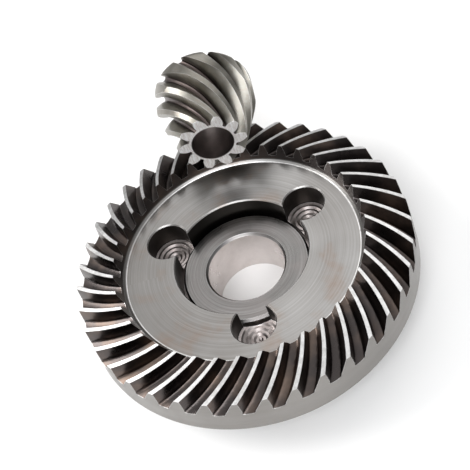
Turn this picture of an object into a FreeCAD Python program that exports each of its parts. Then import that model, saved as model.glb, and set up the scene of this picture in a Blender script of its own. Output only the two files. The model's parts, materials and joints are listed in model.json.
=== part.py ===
"""Spiral bevel gear pair: a 39-tooth crown gear on a hub bush, in mesh with a 10-tooth pinion.

Millimetres. The origin is the centre of the hub's bore at the crown gear's back face. +Z points
out of the toothed side, and the pinion's axis lies along +Y above the crown gear.
"""

import FreeCAD
import Part

import os
from math import acos, asin, atan, atan2, cos, hypot, pi, radians, sin, sqrt, tan

from FreeCAD import Vector

os.makedirs("parts", exist_ok=True)

# Gearing
CROWN_TEETH = 39
PINION_TEETH = 10
MODULE = 2.0                    # transverse, at the outer cone distance
PRESSURE_ANGLE = radians(21.0)  # transverse
SPIRAL_ANGLE = radians(35.0)    # at the middle of the crown gear's face width
CUTTER_RADIUS = 38.0            # radius of the lengthwise tooth curve
CROWN_FACE_WIDTH = 10.8
PINION_FACE_WIDTH = 14.2
CROWN_ADDENDUM = 1.0            # tooth heights shrink towards the apex
PINION_ADDENDUM = 2.4
TIP_CLEARANCE = 0.4
CROWN_TOOTH_THICKNESS = 1.95    # on the outer pitch circle
BACKLASH = 0.12
CROWN_ROOT_RADIUS = 0.45
PINION_ROOT_RADIUS = 0.5

# Crown gear body
TOE_LAND_Z = 21.0               # height of the teeth's inner ends above the back face
PLATE_Z = 16.7
PLATE_RADIUS = 27.1
PLATE_CHAMFER = 0.5
RECESS_RADIUS = 15.5
RECESS_FLOOR_Z = 9.2
HEEL_RADIUS = 38.25             # of the tooth tips' outer ends
RIM_RADIUS = 38.9
RIM_LOW_Z = 9.4
RIM_ROUNDING = 2.2
BACK_RADIUS = 25.0
EDGE_CHAMFER = 0.5
SMALL_CHAMFER = 0.25

# Three blind holes in the plate, which break into the recess
HOLE_COUNT = 3
HOLE_CIRCLE_RADIUS = 18.9
HOLE_RADIUS = 4.85
HOLE_SHOULDER_Z = 10.8
HOLE_POINT_DEPTH = 1.3
HOLE_RING_COUNT = 4             # turning rings left on the cone
HOLE_RING_RISE = 0.18
HOLE_FIRST_ANGLE = radians(-90.0)

# Hub bush inside the crown gear
HUB_RADIUS = 14.85
HUB_FIT = 0.03                  # radial running clearance
HUB_FACE_Z = 12.0
HUB_BORE_RADIUS = 9.0

# Pinion body
PINION_BORE_RADIUS = 5.0
PINION_OUTER_RADIUS = 12.0      # the tooth tips leave their cone for this cylinder
PINION_BACK_Y = 45.2
PINION_BACK_ROUNDING = 2.0

# Accuracy of the tooth surfaces
FLANK_POINTS = 9
FILLET_POINTS = 4
SECTIONS = 13
OVERCUT = 1.2                   # how far a cutting shape reaches beyond the blank

CROWN_PITCH_ANGLE = atan2(CROWN_TEETH, PINION_TEETH)
PINION_PITCH_ANGLE = pi / 2 - CROWN_PITCH_ANGLE
OUTER_CONE = MODULE * CROWN_TEETH / 2 / sin(CROWN_PITCH_ANGLE)
CROWN_INNER_CONE = OUTER_CONE - CROWN_FACE_WIDTH
PINION_INNER_CONE = OUTER_CONE - PINION_FACE_WIDTH
MIDDLE_CONE = (OUTER_CONE + CROWN_INNER_CONE) / 2
CIRCULAR_PITCH = pi * MODULE
CROWN_TIP_ANGLE = CROWN_PITCH_ANGLE + atan(CROWN_ADDENDUM / OUTER_CONE)
CROWN_ROOT_ANGLE = CROWN_PITCH_ANGLE - atan((PINION_ADDENDUM + TIP_CLEARANCE) / OUTER_CONE)
PINION_TIP_ANGLE = PINION_PITCH_ANGLE + atan(PINION_ADDENDUM / OUTER_CONE)
PINION_ROOT_ANGLE = PINION_PITCH_ANGLE - atan((CROWN_ADDENDUM + TIP_CLEARANCE) / OUTER_CONE)
APEX_Z = TOE_LAND_Z + CROWN_INNER_CONE * cos(CROWN_TIP_ANGLE) / cos(
    CROWN_TIP_ANGLE - CROWN_PITCH_ANGLE
)

X_AXIS = Vector(1, 0, 0)
Y_AXIS = Vector(0, 1, 0)
Z_AXIS = Vector(0, 0, 1)
ORIGIN = Vector(0, 0, 0)
APEX = Vector(0, 0, APEX_Z)


def spiral_phase(cone):
    """Angle of the tooth line in the developed pitch plane at a cone distance: a circular arc."""
    centre = sqrt(
        MIDDLE_CONE**2
        + CUTTER_RADIUS**2
        - 2 * MIDDLE_CONE * CUTTER_RADIUS * sin(SPIRAL_ANGLE)
    )

    def angle(distance):
        return acos((distance**2 + centre**2 - CUTTER_RADIUS**2) / (2 * distance * centre))

    return angle(MIDDLE_CONE) - angle(cone)


def involute_angle(polar, base):
    """Azimuth of a spherical involute at a polar angle, from its start on the base cone."""
    if polar <= base:
        return 0.0
    roll = acos(cos(polar) / cos(base))
    return roll / sin(base) - acos(tan(base) / tan(polar))


def space_half_angle(polar, pitch_angle, teeth, thickness):
    """Half the azimuth of a tooth space at a polar angle."""
    base = asin(sin(pitch_angle) * cos(PRESSURE_ANGLE))
    pitch_radius = MODULE * teeth / 2
    space = CIRCULAR_PITCH - thickness
    growth = involute_angle(polar, base) - involute_angle(pitch_angle, base)
    return space / 2 / pitch_radius + growth


def space_profile(pitch_angle, root_angle, tip_angle, teeth, thickness, fillet):
    """One side of a tooth space as (polar, half azimuth) pairs, from above the tip to the root.

    The fillet is a circular arc, tangent to the flank and to the root cone.
    """
    fillet = fillet / OUTER_CONE

    def half_width(polar):
        return sin(polar) * space_half_angle(polar, pitch_angle, teeth, thickness)

    def gap(polar):
        """Distance from the fillet's centre height to where the flank's normal meets it."""
        step = 1e-5
        slope = (half_width(polar + step) - half_width(polar - step)) / (2 * step)
        return root_angle + fillet - (polar - fillet * slope / hypot(1, slope))

    low, high = root_angle, root_angle + 2 * fillet
    for _ in range(60):
        middle = (low + high) / 2
        if gap(middle) > 0:
            low = middle
        else:
            high = middle
    tangent = (low + high) / 2
    step = 1e-5
    slope = (half_width(tangent + step) - half_width(tangent - step)) / (2 * step)
    centre = half_width(tangent) - fillet / hypot(1, slope)
    top = tip_angle + OVERCUT / OUTER_CONE
    profile = []
    for i in range(FLANK_POINTS):
        polar = top + (tangent - top) * i / (FLANK_POINTS - 1)
        profile.append((polar, space_half_angle(polar, pitch_angle, teeth, thickness)))
    end = atan(slope)
    for i in range(1, FILLET_POINTS + 1):
        turn = -end + (pi / 2 + end) * i / FILLET_POINTS
        polar = root_angle + fillet - fillet * sin(turn)
        profile.append((polar, (centre + fillet * cos(turn)) / sin(polar)))
    return profile


def solve_cone(place, distance, start):
    """The cone distance at which place(cone) reaches a distance along the section normal."""
    cone = start
    step = 1e-4
    for _ in range(30):
        error = place(cone) - distance
        slope = (place(cone + step) - place(cone - step)) / (2 * step)
        cone -= error / slope
        if abs(error) < 1e-10:
            break
    return cone


def curve_parameters(profile):
    """Chord-length parameters of a whole tooth space, so that all its sections share one set."""
    outline = [Vector(sin(p) * h, p, 0) for p, h in profile]
    outline += [Vector(-sin(p) * h, p, 0) for p, h in profile[::-1]]
    parameters = [0.0]
    for start, end in zip(outline, outline[1:]):
        parameters.append(parameters[-1] + (end - start).Length)
    return [value / parameters[-1] for value in parameters]


def closed_section(side_a, side_b, parameters):
    """A wire through one flank, the root and the other flank, closed by a straight line."""
    curve = Part.BSplineCurve()
    curve.interpolate(Points=side_a + side_b[::-1], Parameters=parameters)
    return Part.Wire([curve.toShape(), Part.makeLine(side_b[0], side_a[0])])


def crown_point(cone, polar, azimuth):
    """A point given from the apex. Azimuth 0 is at the pinion, and grows clockwise from above."""
    radius = cone * sin(polar)
    return Vector(radius * sin(azimuth), radius * cos(azimuth), APEX_Z - cone * cos(polar))


def crown_space():
    """The shape that cuts one tooth space, lofted through parallel planes across the face."""
    thickness = CROWN_TOOTH_THICKNESS - BACKLASH / 2
    profile = space_profile(
        CROWN_PITCH_ANGLE,
        CROWN_ROOT_ANGLE,
        CROWN_TIP_ANGLE,
        CROWN_TEETH,
        thickness,
        CROWN_ROOT_RADIUS,
    )
    half_pitch = pi / CROWN_TEETH
    first = (CROWN_INNER_CONE - 2 * OVERCUT) * sin(CROWN_PITCH_ANGLE)
    last = (OUTER_CONE + OVERCUT) * sin(CROWN_PITCH_ANGLE)
    wires = []
    for i in range(SECTIONS):
        distance = first + (last - first) * i / (SECTIONS - 1)
        sides = []
        for sign in (-1, 1):
            points = []
            for polar, half_angle in profile:

                def azimuth(cone):
                    phase = spiral_phase(cone) / sin(CROWN_PITCH_ANGLE)
                    return half_pitch + phase + sign * half_angle

                def place(cone):
                    return crown_point(cone, polar, azimuth(cone)).y

                cone = solve_cone(place, distance, distance / sin(polar))
                points.append(crown_point(cone, polar, azimuth(cone)))
            sides.append(points)
        wires.append(closed_section(*sides, curve_parameters(profile)))
    return Part.makeLoft(wires, True, False)


def pinion_point(cone, polar, azimuth):
    """A point given from the apex. Azimuth 0 is straight down, and grows towards +X."""
    radius = cone * sin(polar)
    return Vector(radius * sin(azimuth), cone * cos(polar), APEX_Z - radius * cos(azimuth))


def pinion_space():
    """The shape that cuts one tooth space, lofted through planes across the pinion's axis."""
    thickness = CIRCULAR_PITCH - CROWN_TOOTH_THICKNESS - BACKLASH / 2
    profile = space_profile(
        PINION_PITCH_ANGLE,
        PINION_ROOT_ANGLE,
        PINION_TIP_ANGLE,
        PINION_TEETH,
        thickness,
        PINION_ROOT_RADIUS,
    )
    first = PINION_INNER_CONE * cos(PINION_PITCH_ANGLE) - OVERCUT
    last = PINION_BACK_Y + OVERCUT
    wires = []
    for i in range(SECTIONS):
        distance = first + (last - first) * i / (SECTIONS - 1)
        sides = []
        for sign in (-1, 1):
            points = []
            for polar, half_angle in profile:
                cone = distance / cos(polar)
                phase = spiral_phase(cone) / sin(PINION_PITCH_ANGLE)
                points.append(pinion_point(cone, polar, phase + sign * half_angle))
            sides.append(points)
        wires.append(closed_section(*sides, curve_parameters(profile)))
    return Part.makeLoft(wires, True, False)


def turned(shape, centre, axis, turn):
    """A copy turned about an axis, by an angle in radians."""
    copy = shape.copy()
    copy.rotate(centre, axis, turn * 180 / pi)
    return copy


def revolved(profile, centre, axis, across):
    """A solid of revolution from (radius, distance along the axis) points.

    A point with a third value is the end of an arc that bulges by that much.
    """
    points = [centre + across * p[0] + axis * p[1] for p in profile]
    edges = []
    count = len(points)
    for i in range(count):
        start, end = points[i], points[(i + 1) % count]
        bulge = profile[(i + 1) % count][2] if len(profile[(i + 1) % count]) > 2 else 0
        if bulge:
            chord = end - start
            normal = chord.cross(across.cross(axis)).normalize()
            middle = (start + end) * 0.5 + normal * bulge
            edges.append(Part.Arc(start, middle, end).toShape())
        else:
            edges.append(Part.makeLine(start, end))
    return Part.Face(Part.Wire(edges)).revolve(centre, axis, 360)


def crown_blank():
    """The crown gear before its teeth and holes are cut."""
    toe_radius = (APEX_Z - TOE_LAND_Z) * tan(CROWN_TIP_ANGLE)
    heel_z = APEX_Z - HEEL_RADIUS / tan(CROWN_TIP_ANGLE)
    bore = HUB_RADIUS + HUB_FIT
    rounding_rise = RIM_ROUNDING * (sqrt(2) - 1) / sqrt(2) / 2
    profile = [
        (bore + EDGE_CHAMFER, 0),
        (BACK_RADIUS, 0),
        (RIM_RADIUS - RIM_ROUNDING, RIM_LOW_Z - RIM_ROUNDING),
        (RIM_RADIUS, RIM_LOW_Z, rounding_rise),
        (HEEL_RADIUS, heel_z),
        (toe_radius, TOE_LAND_Z),
        (PLATE_RADIUS + PLATE_CHAMFER, PLATE_Z + PLATE_CHAMFER),
        (PLATE_RADIUS, PLATE_Z),
        (RECESS_RADIUS + SMALL_CHAMFER, PLATE_Z),
        (RECESS_RADIUS, PLATE_Z - SMALL_CHAMFER),
        (RECESS_RADIUS, RECESS_FLOOR_Z),
        (bore, RECESS_FLOOR_Z),
        (bore, EDGE_CHAMFER),
    ]
    return revolved(profile, ORIGIN, Z_AXIS, X_AXIS)


def blind_hole():
    """The cutting shape of one blind hole, with its ringed conical floor, on the Z axis."""
    profile = [(0, HOLE_SHOULDER_Z - HOLE_POINT_DEPTH)]
    steps = 2 * HOLE_RING_COUNT + 1
    for i in range(1, steps):
        rise = HOLE_RING_RISE if i % 2 else 0
        floor_z = HOLE_SHOULDER_Z - HOLE_POINT_DEPTH * (1 - i / steps) + rise
        profile.append((HOLE_RADIUS * i / steps, floor_z))
    profile += [
        (HOLE_RADIUS, HOLE_SHOULDER_Z),
        (HOLE_RADIUS, PLATE_Z - SMALL_CHAMFER),
        (HOLE_RADIUS + 2 * SMALL_CHAMFER, PLATE_Z + SMALL_CHAMFER),
        (0, PLATE_Z + SMALL_CHAMFER),
    ]
    return revolved(profile, ORIGIN, Z_AXIS, X_AXIS)


def crown_gear():
    """The crown gear, with its teeth and its three blind holes."""
    cutters = []
    space = crown_space()
    for tooth in range(CROWN_TEETH):
        cutters.append(turned(space, ORIGIN, Z_AXIS, 2 * pi * tooth / CROWN_TEETH))
    hole = blind_hole()
    hole.translate(X_AXIS * HOLE_CIRCLE_RADIUS)
    for i in range(HOLE_COUNT):
        cutters.append(turned(hole, ORIGIN, Z_AXIS, HOLE_FIRST_ANGLE + 2 * pi * i / HOLE_COUNT))
    return crown_blank().cut(cutters)


def crown_hub():
    """The plain bush that carries the crown gear on its spindle."""
    profile = [
        (HUB_BORE_RADIUS, 0),
        (HUB_RADIUS - EDGE_CHAMFER, 0),
        (HUB_RADIUS, EDGE_CHAMFER),
        (HUB_RADIUS, HUB_FACE_Z - EDGE_CHAMFER),
        (HUB_RADIUS - EDGE_CHAMFER, HUB_FACE_Z),
        (HUB_BORE_RADIUS + EDGE_CHAMFER, HUB_FACE_Z),
        (HUB_BORE_RADIUS, HUB_FACE_Z - EDGE_CHAMFER),
    ]
    return revolved(profile, ORIGIN, Z_AXIS, X_AXIS)


def pinion_blank():
    """The pinion before its teeth are cut: a cone at the small end, then a cylinder."""
    front_y = PINION_INNER_CONE * cos(PINION_PITCH_ANGLE)
    rounding_rise = PINION_BACK_ROUNDING * (sqrt(2) - 1) / sqrt(2)
    profile = [
        (PINION_BORE_RADIUS, front_y),
        (front_y * tan(PINION_TIP_ANGLE), front_y),
        (PINION_OUTER_RADIUS, PINION_OUTER_RADIUS / tan(PINION_TIP_ANGLE)),
        (PINION_OUTER_RADIUS, PINION_BACK_Y - PINION_BACK_ROUNDING),
        (PINION_OUTER_RADIUS - PINION_BACK_ROUNDING, PINION_BACK_Y, rounding_rise),
        (PINION_BORE_RADIUS + EDGE_CHAMFER, PINION_BACK_Y),
        (PINION_BORE_RADIUS, PINION_BACK_Y - EDGE_CHAMFER),
    ]
    return revolved(profile, APEX, Y_AXIS, X_AXIS)


def pinion():
    """The pinion, with its teeth."""
    space = pinion_space()
    cutters = []
    for tooth in range(PINION_TEETH):
        cutters.append(turned(space, APEX, Y_AXIS, 2 * pi * tooth / PINION_TEETH))
    return pinion_blank().cut(cutters)


NODES = {"crown_gear": crown_gear, "crown_hub": crown_hub, "pinion": pinion}

if __name__ == "__main__":
    for name, make in NODES.items():
        shape = make()
        shape.exportStep(f"parts/{name}.step")
        print(name, "solids", len(shape.Solids), "valid", shape.isValid(), round(shape.Volume, 1))
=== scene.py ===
"""Looks of the spiral bevel gear pair: turned and ground steel, on a plain pale studio floor.

Metres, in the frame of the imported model. The crown gear's axis is Z, and the pinion's lies along +Y.
"""

import json
from math import atan2, cos, pi, radians, sin, tan

import bpy
from mathutils import Matrix, Vector


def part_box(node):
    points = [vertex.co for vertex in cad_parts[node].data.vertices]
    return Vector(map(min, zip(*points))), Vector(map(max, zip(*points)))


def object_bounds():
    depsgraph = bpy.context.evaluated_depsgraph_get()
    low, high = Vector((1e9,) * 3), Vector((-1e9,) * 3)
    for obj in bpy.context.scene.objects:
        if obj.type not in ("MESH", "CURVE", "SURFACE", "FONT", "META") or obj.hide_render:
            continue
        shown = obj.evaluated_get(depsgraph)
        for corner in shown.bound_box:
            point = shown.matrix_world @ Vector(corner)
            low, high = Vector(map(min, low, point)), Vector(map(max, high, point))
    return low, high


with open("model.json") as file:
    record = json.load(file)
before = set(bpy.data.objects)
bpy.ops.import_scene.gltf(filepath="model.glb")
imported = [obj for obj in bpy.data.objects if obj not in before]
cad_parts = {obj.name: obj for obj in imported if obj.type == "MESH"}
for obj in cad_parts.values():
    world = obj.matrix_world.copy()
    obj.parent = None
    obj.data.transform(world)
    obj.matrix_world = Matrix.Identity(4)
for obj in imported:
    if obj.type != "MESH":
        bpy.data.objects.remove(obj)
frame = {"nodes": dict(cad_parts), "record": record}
cad_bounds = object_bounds()

MM = 0.001

# The gears' driving sizes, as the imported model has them
CROWN_TEETH = 39
PINION_TEETH = 10
MODULE = 2.0 * MM
CROWN_ADDENDUM = 1.0 * MM
PITCH_ANGLE = atan2(CROWN_TEETH, PINION_TEETH)
OUTER_CONE = MODULE * CROWN_TEETH / 2 / sin(PITCH_ANGLE)
TIP_ANGLE = PITCH_ANGLE + atan2(CROWN_ADDENDUM, OUTER_CONE)
PINION_ROOT_DEPTH = 1.4 * MM
PINION_ROOT_ANGLE = pi / 2 - PITCH_ANGLE - atan2(PINION_ROOT_DEPTH, OUTER_CONE)
HEEL_RADIUS = 38.25 * MM
RIM_LOW_Z = 9.4 * MM
PLATE_WALL_RADIUS = 27.6 * MM
PLATE_Z = 16.7 * MM
PLATE_EDGE_INNER = 26.85 * MM
PLATE_EDGE_OUTER = 27.30 * MM
HOLES_REACH = 24.5 * MM
RECESS_FLOOR_Z = 9.2 * MM
GAP_DEPTH_BELOW_TIPS = 6.2 * MM

# How strongly turned steel stretches its highlights around the axis
TURNED_ANISOTROPY = 0.45

# The studio: the sky's grey at the horizon and overhead, the floor and the camera
HORIZON_GREY = 0.24
OVERHEAD_GREY = 0.72
FLOOR_REACH = 4.0
FLOOR_DROP = 0.02 * MM
SENSOR = 36.0
LENS = 68.0
CAMERA_PLACE = Vector((0.0222, -0.1236, 0.1707))
CAMERA_UP = Vector((0.249, 0.854, 0.456))

# Places worked out from the frame
crown_low, crown_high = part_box("crown_gear")
HUB_FACE_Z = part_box("crown_hub")[1].z
PINION_FRONT_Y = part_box("pinion")[0].y
mounts = {mount["name"]: mount for mount in frame["record"]["mounts"]}
PINION_AXIS_Z = mounts["pinion_bore"]["pos_m"][2]
PINION_BORE_RADIUS = mounts["pinion_bore"]["dims"]["r_mm"] * MM
TOE_Z = crown_high.z
TOE_RADIUS = (PINION_AXIS_Z - TOE_Z) * tan(TIP_ANGLE)
HEEL_Z = PINION_AXIS_Z - HEEL_RADIUS / tan(TIP_ANGLE)
RIM_RADIUS = crown_high.x


class Graph:
    """A material's node tree, written as expressions."""

    def __init__(self, name):
        self.material = bpy.data.materials.new(name)
        self.material.use_nodes = True
        self.tree = self.material.node_tree
        self.tree.nodes.clear()

    def node(self, kind, *values, **settings):
        """A node with its inputs in order. A value is a number, a colour, or another's socket."""
        node = self.tree.nodes.new(kind)
        for key, value in settings.items():
            setattr(node, key, value)
        for place, value in enumerate(values):
            self.put(node.inputs[place], value)
        return node

    def put(self, socket, value):
        """Links a socket to an input, or sets the input to a number or colour."""
        if isinstance(value, bpy.types.NodeSocket):
            self.tree.links.new(value, socket)
        elif value is not None:
            socket.default_value = value

    def math(self, operation, *values):
        return self.node("ShaderNodeMath", *values, operation=operation).outputs[0]

    def product(self, first, *rest):
        """All the values, multiplied."""
        for value in rest:
            first = self.math("MULTIPLY", first, value)
        return first

    def step(self, value, low, high, first=0.0, last=1.0):
        """value's place between low and high, as a smooth step from first to last."""
        node = self.node("ShaderNodeMapRange", value, low, high, first, last)
        node.interpolation_type = "SMOOTHSTEP"
        return node.outputs[0]

    def mix(self, share, first, second):
        """A mix of two colours."""
        node = self.tree.nodes.new("ShaderNodeMix")
        node.data_type = "RGBA"
        self.put(node.inputs[0], share)
        self.put(node.inputs[6], first)
        self.put(node.inputs[7], second)
        return node.outputs[2]

    def noise(self, place, scale, detail=3.0, roughness=0.5):
        """Noise from 0 to 1, with about scale features to the metre."""
        node = self.node("ShaderNodeTexNoise")
        self.put(node.inputs["Vector"], place)
        self.put(node.inputs["Scale"], scale)
        self.put(node.inputs["Detail"], detail)
        self.put(node.inputs["Roughness"], roughness)
        return node.outputs["Fac"]

    def vector(self, x, y, z):
        return self.node("ShaderNodeCombineXYZ", x, y, z).outputs[0]

    def finished(self, shader):
        """The material, with the shader as its surface."""
        self.node("ShaderNodeOutputMaterial", shader.outputs[0])
        return self.material


def grey(value, warmth=0.0):
    """A linear colour, warmer for a positive warmth."""
    return (value * (1 + warmth), value, value * (1 - warmth), 1.0)


def places(graph, centre_z, along):
    """A surface point's sockets: its place, its radius and angle about an axis, and how far along."""
    point = graph.node("ShaderNodeTexCoord").outputs["Object"]
    x, y, z = graph.node("ShaderNodeSeparateXYZ", point).outputs
    if along == "Z":
        across, up, axial = x, y, z
    else:
        across, up, axial = x, graph.math("SUBTRACT", z, centre_z), y
    square = graph.math("ADD", graph.product(across, across), graph.product(up, up))
    radius = graph.math("SQRT", square)
    angle = graph.math("ARCTAN2", up, across)
    return point, radius, angle, axial


def finish_metal(graph, colour, roughness, height, bump_distance, turned_axis=None):
    """The metal shader, with the sockets that vary over it."""
    bump = graph.node("ShaderNodeBump")
    bump.inputs["Strength"].default_value = 1.0
    bump.inputs["Distance"].default_value = bump_distance
    graph.put(bump.inputs["Height"], height)
    shader = graph.node("ShaderNodeBsdfPrincipled")
    shader.inputs["Metallic"].default_value = 1.0
    graph.put(shader.inputs["Base Color"], colour)
    graph.put(shader.inputs["Roughness"], roughness)
    graph.put(shader.inputs["Normal"], bump.outputs["Normal"])
    if turned_axis:
        shader.inputs["Anisotropic"].default_value = TURNED_ANISOTROPY
        tangent = graph.node("ShaderNodeTangent", direction_type="RADIAL", axis=turned_axis)
        graph.put(shader.inputs["Tangent"], tangent.outputs[0])
    return graph.finished(shader)


def normal_z(graph):
    """How far a surface faces upwards, from -1 to 1."""
    normal = graph.node("ShaderNodeNewGeometry").outputs["Normal"]
    return graph.node("ShaderNodeSeparateXYZ", normal).outputs[2]


def line(graph, value, first, last):
    """The height of a straight line over value, through two (value, height) points."""
    slope = (last[1] - first[1]) / (last[0] - first[0])
    return graph.math("MULTIPLY_ADD", value, slope, first[1] - slope * first[0])


def worn_and_lit_edges(graph, radius):
    """1 along convex and concave edges, fading to 0 on flat ground."""
    rounded = graph.node("ShaderNodeBevel", radius, samples=6).outputs[0]
    flat = graph.node("ShaderNodeNewGeometry").outputs["Normal"]
    likeness = graph.node("ShaderNodeVectorMath", rounded, flat, operation="DOT_PRODUCT")
    return graph.step(likeness.outputs["Value"], 0.995, 0.90)


def turning_marks(graph, radius, angle, pitch):
    """Fine concentric tool marks, uneven in depth and slightly broken around the circle."""
    rings = graph.vector(graph.math("DIVIDE", radius, pitch), graph.math("MULTIPLY", angle, 0.35), 0.0)
    return graph.noise(rings, 1.0, detail=4.0, roughness=0.65)


def crown_steel():
    """Turned plate and rim, ground lands, dark tooth spaces (dark steel plus painted shade), painted
    shade on the hole and recess walls, a painted highlight on the plate's edge, and edges lightened by
    wear and a painted highlight.
    """
    tarnish = (0.27, 0.195, 0.15, 1.0)
    hole_floor_dark = (0.30, 0.26, 0.25, 1.0)
    hole_floor_light = (0.42, 0.38, 0.37, 1.0)
    flank_dark = (0.080, 0.070, 0.068, 1.0)
    flank_brown = (0.170, 0.128, 0.106, 1.0)
    g = Graph("crown_steel_finish")
    point, radius, angle, z = places(g, 0.0, "Z")

    # Masks: the tooth spaces (dark steel and painted shade), the holes and recess (painted shade on
    # their walls), the plate's edge (painted highlight), the rim and the lands
    tip_slope = 1 / tan(TIP_ANGLE)
    tip_z = g.math("MULTIPLY_ADD", radius, -tip_slope, TOE_Z + TOE_RADIUS * tip_slope)
    below_tip = g.math("SUBTRACT", tip_z, z)
    heel_face = line(g, z, (RIM_LOW_Z, RIM_RADIUS), (HEEL_Z, HEEL_RADIUS))
    sunk = g.step(below_tip, 0.03 * MM, 0.12 * MM)
    behind_toe = g.step(radius, PLATE_WALL_RADIUS + 0.02 * MM, PLATE_WALL_RADIUS + 0.12 * MM)
    inside_heel = g.step(g.math("SUBTRACT", heel_face, radius), 0.04 * MM, 0.14 * MM)
    gap_low_z = HEEL_Z - GAP_DEPTH_BELOW_TIPS
    above_rim = g.step(z, gap_low_z, gap_low_z + 0.2 * MM)
    # Painted shade: the tooth spaces and the groove behind the toe ends are painted dark, partly the
    # steel's own dark oxide and partly the shade that falls between the teeth
    dark = g.product(behind_toe, sunk, inside_heel, above_rim)
    wall_shade = g.step(normal_z(g), 0.65, 0.35)
    in_plate = g.product(
        g.step(z, PLATE_Z - 0.30 * MM, PLATE_Z - 0.45 * MM),
        g.step(radius, HOLES_REACH, HOLES_REACH - 0.2 * MM),
        g.step(z, RECESS_FLOOR_Z - 0.3 * MM, RECESS_FLOOR_Z - 0.1 * MM),
    )
    plate_edge_highlight = g.product(
        g.step(radius, PLATE_EDGE_INNER, PLATE_EDGE_INNER + 0.13 * MM),
        g.step(radius, PLATE_EDGE_OUTER, PLATE_EDGE_OUTER - 0.14 * MM),
    )
    outside = g.step(radius, HEEL_RADIUS - 0.1 * MM, HEEL_RADIUS - 0.02 * MM)
    land = g.product(
        g.step(radius, TOE_RADIUS - 0.1 * MM, TOE_RADIUS),
        g.step(below_tip, 0.09 * MM, 0.03 * MM),
    )

    # The finish: fine turning marks, stains, broad clouds and specks
    marks = turning_marks(g, radius, angle, 0.35 * MM)
    stains = g.noise(point, 95.0, detail=5.0, roughness=0.6)
    cloud = g.noise(point, 34.0, detail=2.0)
    speck = g.noise(point, 900.0, detail=2.0)

    plate = g.mix(g.step(cloud, 0.35, 0.68), grey(0.22, 0.045), grey(0.29, 0.02))
    plate = g.mix(g.step(stains, 0.50, 0.70, 0.0, 0.55), plate, tarnish)
    plate = g.mix(g.step(marks, 0.35, 0.75, 0.0, 0.28), plate, grey(0.50))
    rim = g.mix(g.step(cloud, 0.35, 0.68), grey(0.21, 0.06), grey(0.26, 0.05))
    rim = g.mix(g.step(marks, 0.35, 0.75, 0.0, 0.25), rim, grey(0.36, 0.03))
    plate = g.mix(outside, plate, rim)
    hole_floor = g.mix(g.step(speck, 0.3, 0.7), hole_floor_dark, hole_floor_light)
    # Painted shade: the walls of the holes and the recess are painted near-black, and their floors
    # keep a speckled steel tone
    plate = g.mix(in_plate, plate, g.mix(wall_shade, hole_floor, grey(0.035, 0.1)))
    flank = g.mix(g.step(stains, 0.4, 0.7), flank_dark, flank_brown)
    bright = g.mix(g.step(speck, 0.3, 0.7), grey(0.62, 0.01), grey(0.80))
    # Painted highlight: a thin bright ring along the plate's outer edge, where its chamfer catches the
    # light
    plate = g.mix(g.product(plate_edge_highlight, g.step(speck, 0.2, 0.5, 0.5, 1.0)), plate, grey(0.72, 0.01))
    # The tooth spaces take the dark flank colour: dark oxidised steel plus painted shade
    colour = g.mix(dark, plate, flank)
    colour = g.mix(land, colour, bright)
    # Edges lightened: partly worn bright steel, partly a painted highlight along the edges
    wear_and_highlight = g.math("MULTIPLY", worn_and_lit_edges(g, 0.14 * MM), g.step(speck, 0.25, 0.55, 0.3, 0.9))
    colour = g.mix(wear_and_highlight, colour, grey(0.72))

    roughness = g.step(stains, 0.3, 0.75, 0.30, 0.44)
    roughness = g.math("ADD", roughness, g.math("MULTIPLY", dark, -0.04))
    height = g.math("ADD", marks, g.math("MULTIPLY", speck, 0.35))
    return finish_metal(g, colour, roughness, height, 0.010 * MM, turned_axis="Z")


def hub_steel():
    """The hub bush: a darker turned face, a lighter, warmer bore, and edges lightened by wear and a
    painted highlight.
    """
    face_stain = (0.20, 0.185, 0.18, 1.0)
    bore_dark = (0.60, 0.55, 0.53, 1.0)
    bore_light = (0.72, 0.67, 0.65, 1.0)
    g = Graph("hub_steel_finish")
    point, radius, angle, z = places(g, 0.0, "Z")
    marks = turning_marks(g, radius, angle, 0.3 * MM)
    stains = g.noise(point, 140.0, detail=5.0, roughness=0.6)
    speck = g.noise(point, 1100.0, detail=2.0)
    face = g.step(z, HUB_FACE_Z - 0.7 * MM, HUB_FACE_Z - 0.4 * MM)
    top = g.mix(g.step(stains, 0.35, 0.7), grey(0.14, 0.03), face_stain)
    bore = g.mix(g.step(stains, 0.35, 0.7), bore_dark, bore_light)
    colour = g.mix(face, bore, top)
    colour = g.mix(g.step(marks, 0.35, 0.75, 0.0, 0.25), colour, grey(0.55))
    # Edges lightened: partly worn bright steel, partly a painted highlight along the edges
    colour = g.mix(g.math("MULTIPLY", worn_and_lit_edges(g, 0.15 * MM), 0.7), colour, grey(0.78))
    roughness = g.step(stains, 0.3, 0.75, 0.26, 0.40)
    height = g.math("ADD", marks, g.math("MULTIPLY", speck, 0.3))
    return finish_metal(g, colour, roughness, height, 0.010 * MM, turned_axis="Z")


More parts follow.
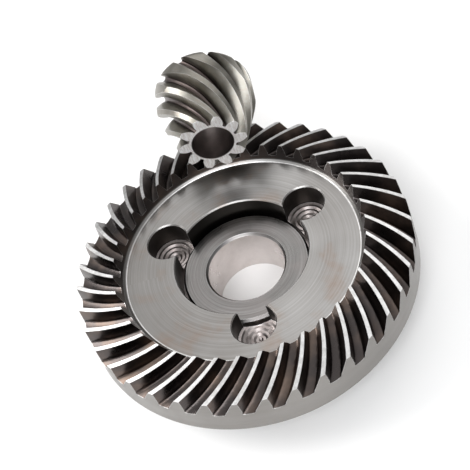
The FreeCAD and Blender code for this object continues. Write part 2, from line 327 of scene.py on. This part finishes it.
def pinion_steel():
    """Olive-grey flanks, edges lightened by wear and a painted highlight, painted shade in the roots,
    a dark bore, and a rough bright end face.
    """
    flank_dark = (0.225, 0.215, 0.190, 1.0)
    flank_light = (0.325, 0.315, 0.285, 1.0)
    flank_speck = (0.27, 0.22, 0.19, 1.0)
    root_shade_colour = (0.085, 0.070, 0.066, 1.0)
    end_dark = (0.80, 0.77, 0.75, 1.0)
    bore_dark = (0.16, 0.14, 0.135, 1.0)
    bore_light = (0.24, 0.205, 0.195, 1.0)
    g = Graph("pinion_steel_finish")
    point, radius, angle, y = places(g, PINION_AXIS_Z, "Y")
    front = g.step(y, PINION_FRONT_Y + 0.10 * MM, PINION_FRONT_Y + 0.03 * MM)
    bore = g.step(radius, PINION_BORE_RADIUS + 0.10 * MM, PINION_BORE_RADIUS + 0.04 * MM)
    across, _, up = g.node("ShaderNodeSeparateXYZ", point).outputs
    scratch_place = g.vector(g.product(across, 2600.0), g.product(up, 420.0), 0.0)
    scratches = g.noise(scratch_place, 1.0, detail=4.0, roughness=0.7)
    stains = g.noise(point, 160.0, detail=5.0, roughness=0.6)
    speck = g.noise(point, 1300.0, detail=3.0, roughness=0.65)
    marks = turning_marks(g, radius, angle, 0.3 * MM)

    flank = g.mix(g.step(stains, 0.38, 0.68), flank_dark, flank_light)
    flank = g.mix(g.step(speck, 0.45, 0.75, 0.0, 0.5), flank, flank_speck)
    # Painted shade: the tooth roots are painted dark, where the gaps between the teeth close in
    root_slope = tan(PINION_ROOT_ANGLE)
    root_shade = g.step(g.math("DIVIDE", radius, y), root_slope + 0.030, root_slope + 0.004)
    flank = g.mix(root_shade, flank, root_shade_colour)
    end = g.mix(g.step(scratches, 0.38, 0.62), end_dark, grey(0.98))
    inside = g.mix(g.step(stains, 0.35, 0.7), bore_dark, bore_light)
    colour = g.mix(front, flank, end)
    colour = g.mix(bore, colour, inside)
    # Edges lightened: partly worn bright steel, partly a painted highlight along the edges
    wear_and_highlight = g.math("MULTIPLY", worn_and_lit_edges(g, 0.13 * MM), g.step(speck, 0.25, 0.55, 0.3, 0.85))
    colour = g.mix(wear_and_highlight, colour, grey(0.74))
    roughness = g.math("ADD", g.step(stains, 0.3, 0.75, 0.30, 0.42), g.math("MULTIPLY", front, 0.26))
    rough_end = g.product(scratches, front, 2.2)
    height = g.math("ADD", g.math("ADD", marks, rough_end), g.math("MULTIPLY", speck, 0.5))
    return finish_metal(g, colour, roughness, height, 0.010 * MM)


def floor_material():
    """A plain pale table top."""
    g = Graph("floor_finish")
    point = g.node("ShaderNodeTexCoord").outputs["Object"]
    tone = g.noise(point, 6.0, detail=2.0)
    shader = g.node("ShaderNodeBsdfPrincipled")
    g.put(shader.inputs["Base Color"], g.mix(tone, grey(0.86, 0.004), grey(0.90)))
    shader.inputs["Roughness"].default_value = 0.55
    shader.inputs["Specular IOR Level"].default_value = 0.2
    return g.finished(shader)


def make_floor():
    """A large level sheet just under the crown gear's back face."""
    far = FLOOR_REACH
    height = crown_low.z - FLOOR_DROP
    mesh = bpy.data.meshes.new("floor")
    corners = [(-far, -far, height), (far, -far, height), (far, far, height), (-far, far, height)]
    mesh.from_pydata(corners, [], [(0, 1, 2, 3)])
    floor = bpy.data.objects.new("floor", mesh)
    bpy.context.scene.collection.objects.link(floor)
    mesh.materials.append(floor_material())


def aim(thing, target, up):
    """Turns a camera or light to look at a point, with its top edge towards up."""
    forward = (target - thing.location).normalized()
    right = forward.cross(up).normalized()
    top = right.cross(forward)
    thing.rotation_euler = Matrix((right, top, -forward)).transposed().to_euler()


def add_light(name, direction, distance, size, watts, tint):
    """A round soft light, placed by its azimuth and elevation in degrees, and facing the origin."""
    azimuth, elevation = radians(direction[0]), radians(direction[1])
    way = Vector((cos(elevation) * cos(azimuth), cos(elevation) * sin(azimuth), sin(elevation)))
    data = bpy.data.lights.new(name, "AREA")
    data.shape = "DISK"
    data.size = size
    data.energy = watts
    data.color = tint
    light = bpy.data.objects.new(name, data)
    bpy.context.scene.collection.objects.link(light)
    light.location = way * distance
    aim(light, Vector((0, 0, 0)), Vector((0, 1, 0.1)))


def make_surroundings():
    """A soft studio: pale overhead, darker towards the horizon."""
    world = bpy.data.worlds.new("studio")
    bpy.context.scene.world = world
    world.use_nodes = True
    tree = world.node_tree
    tree.nodes.clear()
    way = tree.nodes.new("ShaderNodeTexCoord").outputs["Generated"]
    split = tree.nodes.new("ShaderNodeSeparateXYZ")
    tree.links.new(way, split.inputs[0])
    ramp = tree.nodes.new("ShaderNodeValToRGB")
    ramp.color_ramp.elements[0].position = 0.05
    ramp.color_ramp.elements[0].color = grey(HORIZON_GREY)
    ramp.color_ramp.elements[1].position = 0.98
    ramp.color_ramp.elements[1].color = grey(OVERHEAD_GREY)
    tree.links.new(split.outputs[2], ramp.inputs[0])
    background = tree.nodes.new("ShaderNodeBackground")
    tree.links.new(ramp.outputs[0], background.inputs[0])
    background.inputs[1].default_value = 1.0
    output = tree.nodes.new("ShaderNodeOutputWorld")
    tree.links.new(background.outputs[0], output.inputs[0])


def make_camera():
    """Looks down on the middle of the pair from the crown gear's near side, rolled to the left."""
    data = bpy.data.cameras.new("camera")
    data.lens = LENS
    data.sensor_width = SENSOR
    data.clip_start = 0.01
    camera = bpy.data.objects.new("camera", data)
    bpy.context.scene.collection.objects.link(camera)
    camera.location = CAMERA_PLACE
    centre = (Vector(cad_bounds[0]) + Vector(cad_bounds[1])) / 2
    aim(camera, centre, CAMERA_UP)
    bpy.context.scene.camera = camera


FINISHES = {"crown_gear": crown_steel, "crown_hub": hub_steel, "pinion": pinion_steel}
for node, finish in FINISHES.items():
    mesh = frame["nodes"][node].data
    material = finish()
    for slot in range(len(mesh.materials)):
        mesh.materials[slot] = material

make_floor()
make_surroundings()
add_light("window", direction=(78, 55), distance=1.0, size=0.9, watts=2.2, tint=(1.0, 0.99, 0.98))
add_light("key", direction=(165, 36), distance=0.9, size=0.5, watts=5.0, tint=(1.0, 0.985, 0.97))
add_light("fill", direction=(-95, 46), distance=1.1, size=0.9, watts=9, tint=(0.97, 0.985, 1.0))
make_camera()
bpy.context.scene.view_settings.view_transform = "Standard"
